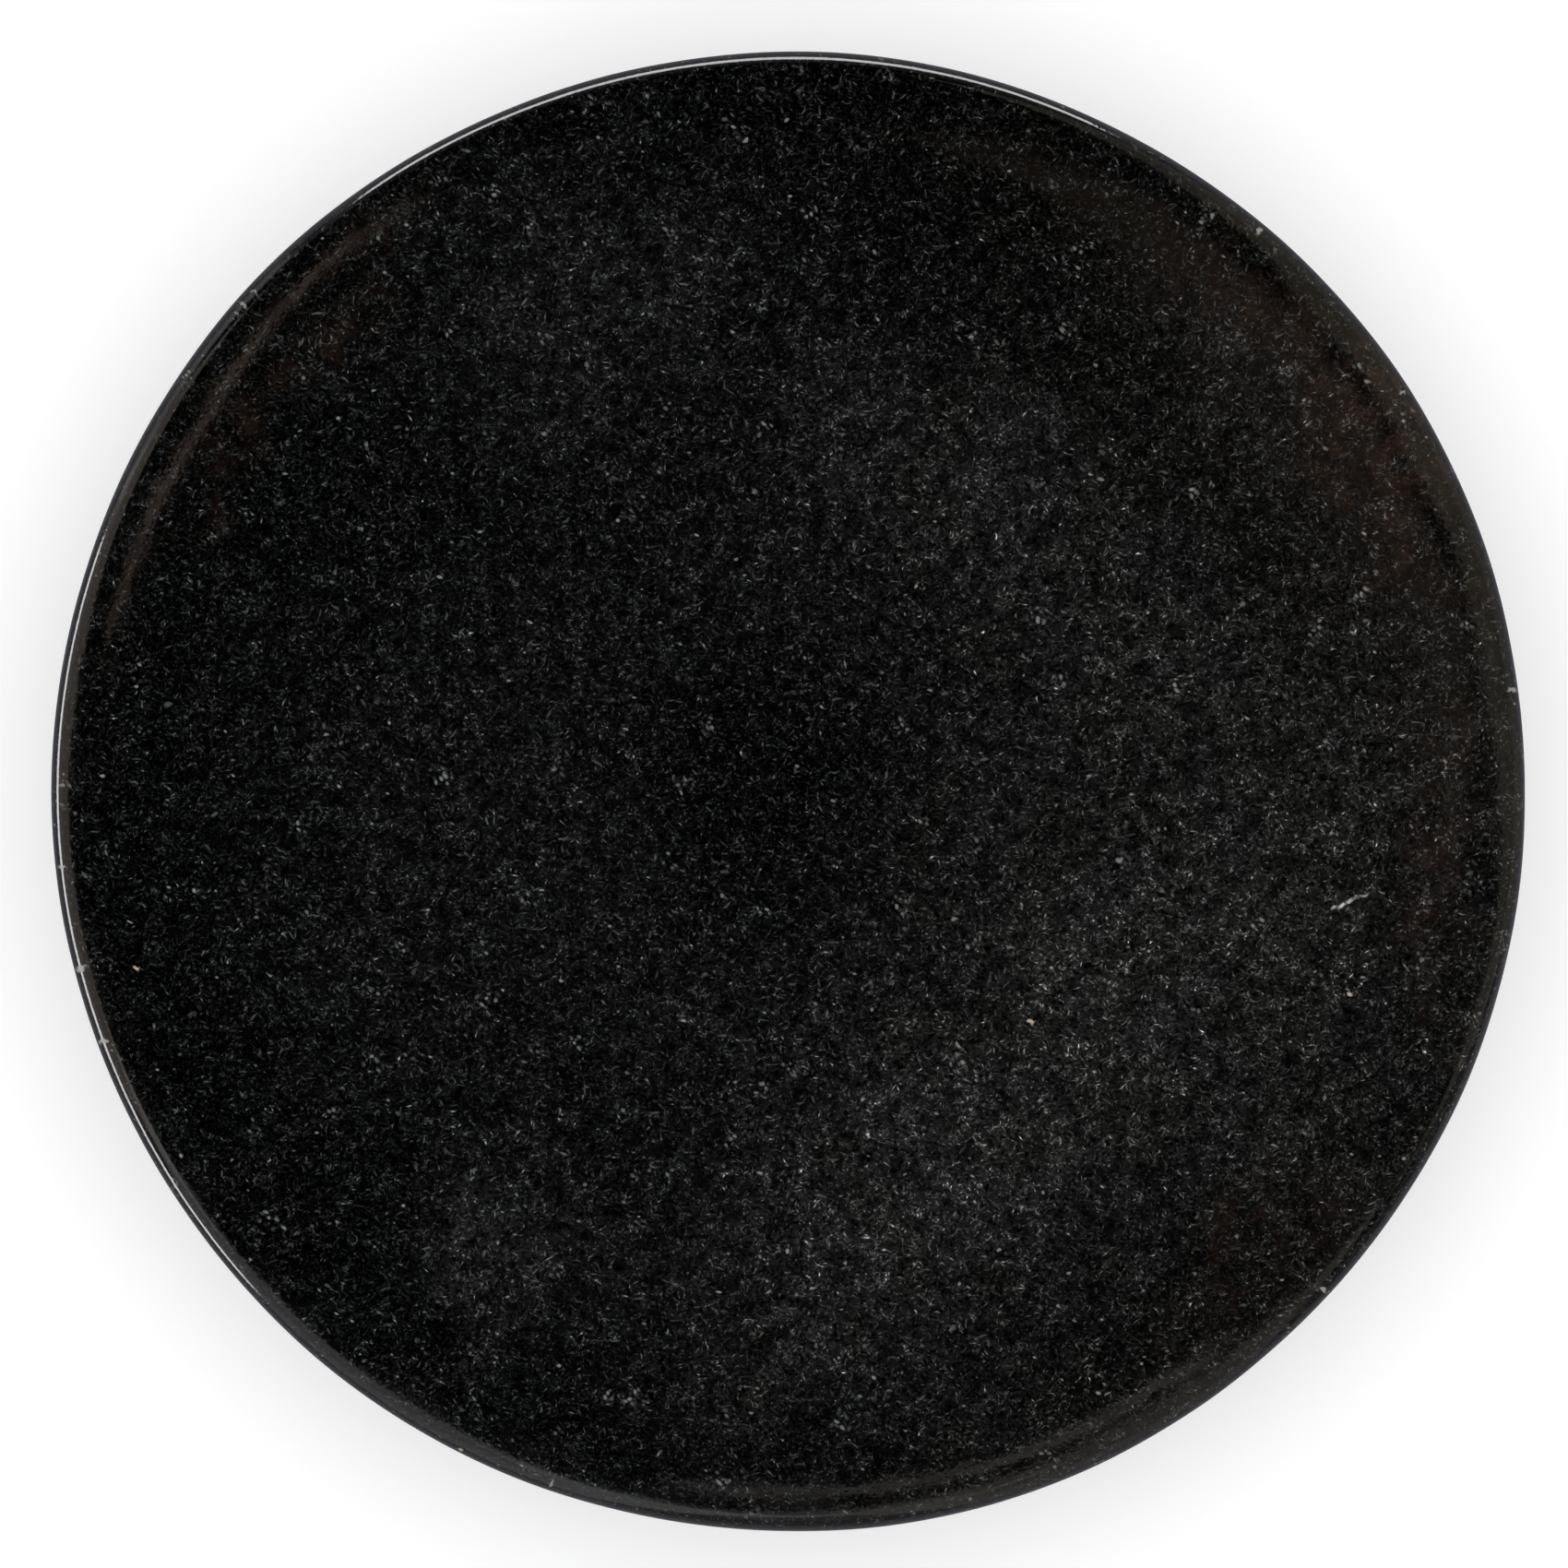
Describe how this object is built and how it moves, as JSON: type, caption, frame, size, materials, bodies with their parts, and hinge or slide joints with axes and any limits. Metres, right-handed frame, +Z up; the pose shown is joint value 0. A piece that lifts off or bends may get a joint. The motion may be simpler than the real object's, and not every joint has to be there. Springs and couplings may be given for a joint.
{
  "type": "massage stone",
  "caption": "Round polished basalt disc for hot or cold massage, with a shallow crowned face, softly rounded edges and a ground flat underside it rests on.",
  "frame": {"origin": "middle of the ground flat underneath, on the surface the stone rests on", "axes": "+Z up through the crowned face, along the stone's short axis; +Y is the upper edge of the stone as seen from straight above with +X to the right"},
  "size_m": [0.0798, 0.0802, 0.018],
  "materials": {
    "basalt": "polished"
  },
  "bodies": {
    "root": {"massage_stone": "basalt"}
  },
  "joints": []
}
